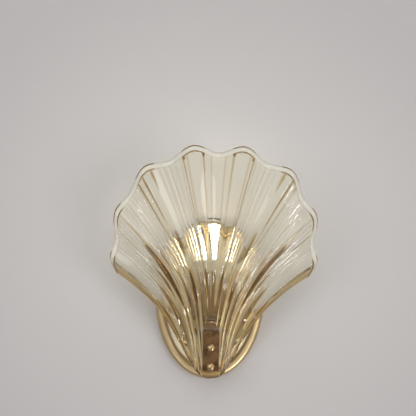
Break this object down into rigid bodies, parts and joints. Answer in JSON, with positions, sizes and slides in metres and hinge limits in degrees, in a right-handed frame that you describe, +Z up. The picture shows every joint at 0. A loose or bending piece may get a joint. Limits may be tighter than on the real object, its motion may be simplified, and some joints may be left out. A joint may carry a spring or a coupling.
{
  "type": "shell wall sconce",
  "caption": "Wall sconce with a ribbed champagne-glass shell clamped to an oval brass backplate, lit by a plug-in lamp behind the glass.",
  "frame": {"origin": "on the wall, at the centre of the backplate's rear face", "axes": "+Z up; the front of the shell faces -Y; +Y points into the wall"},
  "size_m": [0.2198, 0.1088, 0.255],
  "materials": {
    "shell_glass": "clear champagne-tinted pressed glass, polished",
    "dark_bronze": "dark oxidised bronze, satin",
    "bronze_screws": "aged brass, worn bright on the crown",
    "plate_brass": "satin brass, lightly brushed and lacquered",
    "cup_brass": "spun brass, satin",
    "brass_strip": "rolled brass strip, satin",
    "bright_brass": "turned brass, bright",
    "spring_brass": "spring brass, bare",
    "zinc_steel": "bright zinc plate",
    "pin_steel": "nickel-plated wire",
    "pad_rubber": "matt silicone rubber",
    "holder_ceramic": "fired steatite, matt",
    "lamp_white": "moulded white lamp base",
    "lamp_clear": "clear lamp cover",
    "lamp_board": "white lamp board",
    "block_plastic": "natural terminal plastic",
    "lead_brown": "silicone insulation, brown",
    "lead_blue": "silicone insulation, blue",
    "lead_green": "silicone insulation, green with yellow",
    "lamp_light": "lit lamp chips"
  },
  "bodies": {
    "fixture": {"glass_shell": "shell_glass", "clamp_strap": "dark_bronze", "front_pad": "pad_rubber", "rear_pad": "pad_rubber", "glass_sleeves": "pad_rubber", "clamp_screws": "bronze_screws", "clamp_nuts": "zinc_steel", "support_bracket": "brass_strip", "bracket_screws": "bright_brass", "bracket_nuts": "zinc_steel", "backplate": "plate_brass", "wall_bar": "zinc_steel", "cover_screws": "bright_brass", "threaded_tube": "zinc_steel", "tube_washers": "zinc_steel", "tube_nuts": "bright_brass", "lamp_cup": "cup_brass", "holder_plate": "zinc_steel", "holder_screws": "zinc_steel", "lampholder": "holder_ceramic", "contact_springs": "spring_brass", "terminal_block": "block_plastic", "terminal_screws": "bright_brass", "terminal_block_screw": "zinc_steel", "live_lead": "lead_brown", "neutral_lead": "lead_blue", "cable_grommet": "pad_rubber", "earth_lugs": "spring_brass", "earth_screw": "bright_brass", "earth_lead": "lead_green"},
    "lamp": {"lamp_envelope": "lamp_clear", "lamp_base": "lamp_white", "lamp_pins": "pin_steel", "light_core": "lamp_board", "light_chips": "lamp_light"}
  },
  "joints": [
    {"name": "lamp_pull", "type": "slide", "parent": "fixture", "child": "lamp", "axis": [0, 0, 1], "range_m": [0, 0.155]}
  ]
}
